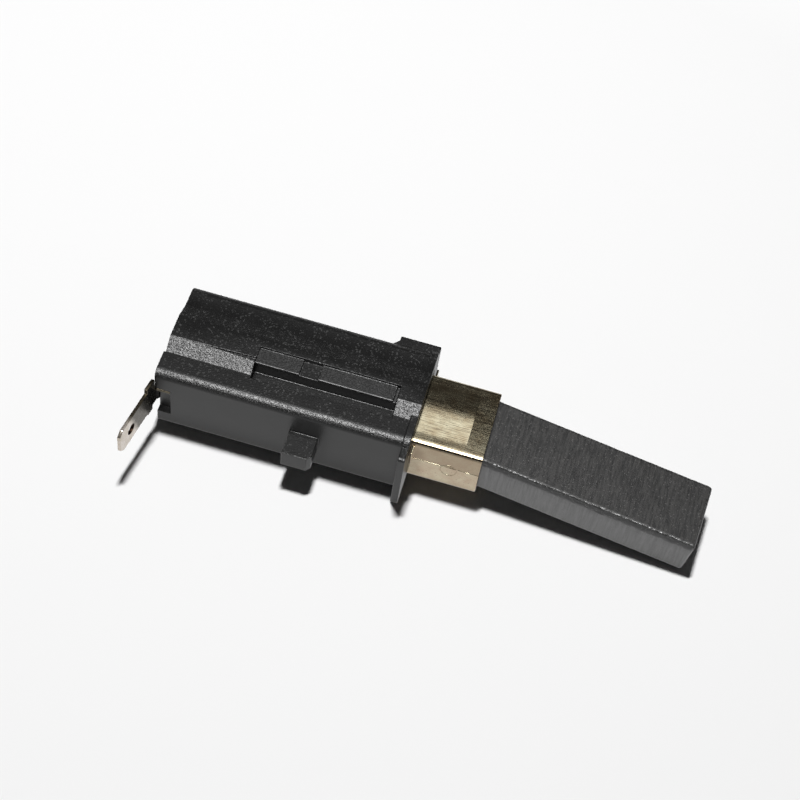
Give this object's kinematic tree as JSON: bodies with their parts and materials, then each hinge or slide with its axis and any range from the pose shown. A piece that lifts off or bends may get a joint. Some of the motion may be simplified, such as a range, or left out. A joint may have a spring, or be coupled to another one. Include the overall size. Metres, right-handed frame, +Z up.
{
  "type": "motor carbon brush in its holder",
  "caption": "Long carbon block that slides in a folded brass tube, sprung out of a moulded housing with a mounting flange, a side catch and a blade terminal.",
  "frame": {"origin": "on the brass tube's axis, in the plane of the flange's front face", "axes": "+X along the tube, towards the carbon's running end; +Y to the side away from the catch and the terminal; +Z up, towards the ridged roof"},
  "size_m": [0.0811, 0.0282, 0.0135],
  "materials": {
    "housing": "black moulded thermoset, fine grain",
    "tube_brass": "rolled sheet, bright with faint scratches",
    "terminal_brass": "pale plated brass strip",
    "carbon": "baked carbon, matt with ground striations",
    "copper": "dull copper",
    "spring_steel": "drawn spring wire"
  },
  "bodies": {
    "holder": {"housing": "housing", "brush_tube": "tube_brass", "terminal": "terminal_brass"},
    "spring_end": {"spring": "spring_steel", "copper_lead": "copper"},
    "carbon": {"carbon_block": "carbon", "copper_plug": "copper"}
  },
  "joints": [
    {"name": "carbon_slide", "type": "slide", "parent": "holder", "child": "spring_end", "axis": [1, 0, 0], "range_m": [-0.028, 0], "stiffness_N_per_m": 75, "springref_m": 0.018, "deforming": ["spring", "copper_lead"]},
    {"name": "carbon_align", "type": "hinge", "parent": "spring_end", "child": "carbon", "pos_m": [0.00365, 0.00039, 0.0006], "axis": [0, 0.7773, -0.6291], "range_deg": [-6.68, 0]}
  ],
  "couplings": [
    {"joint": "carbon_align", "follows": "carbon_slide", "rad_per_m": 4.1651}
  ]
}
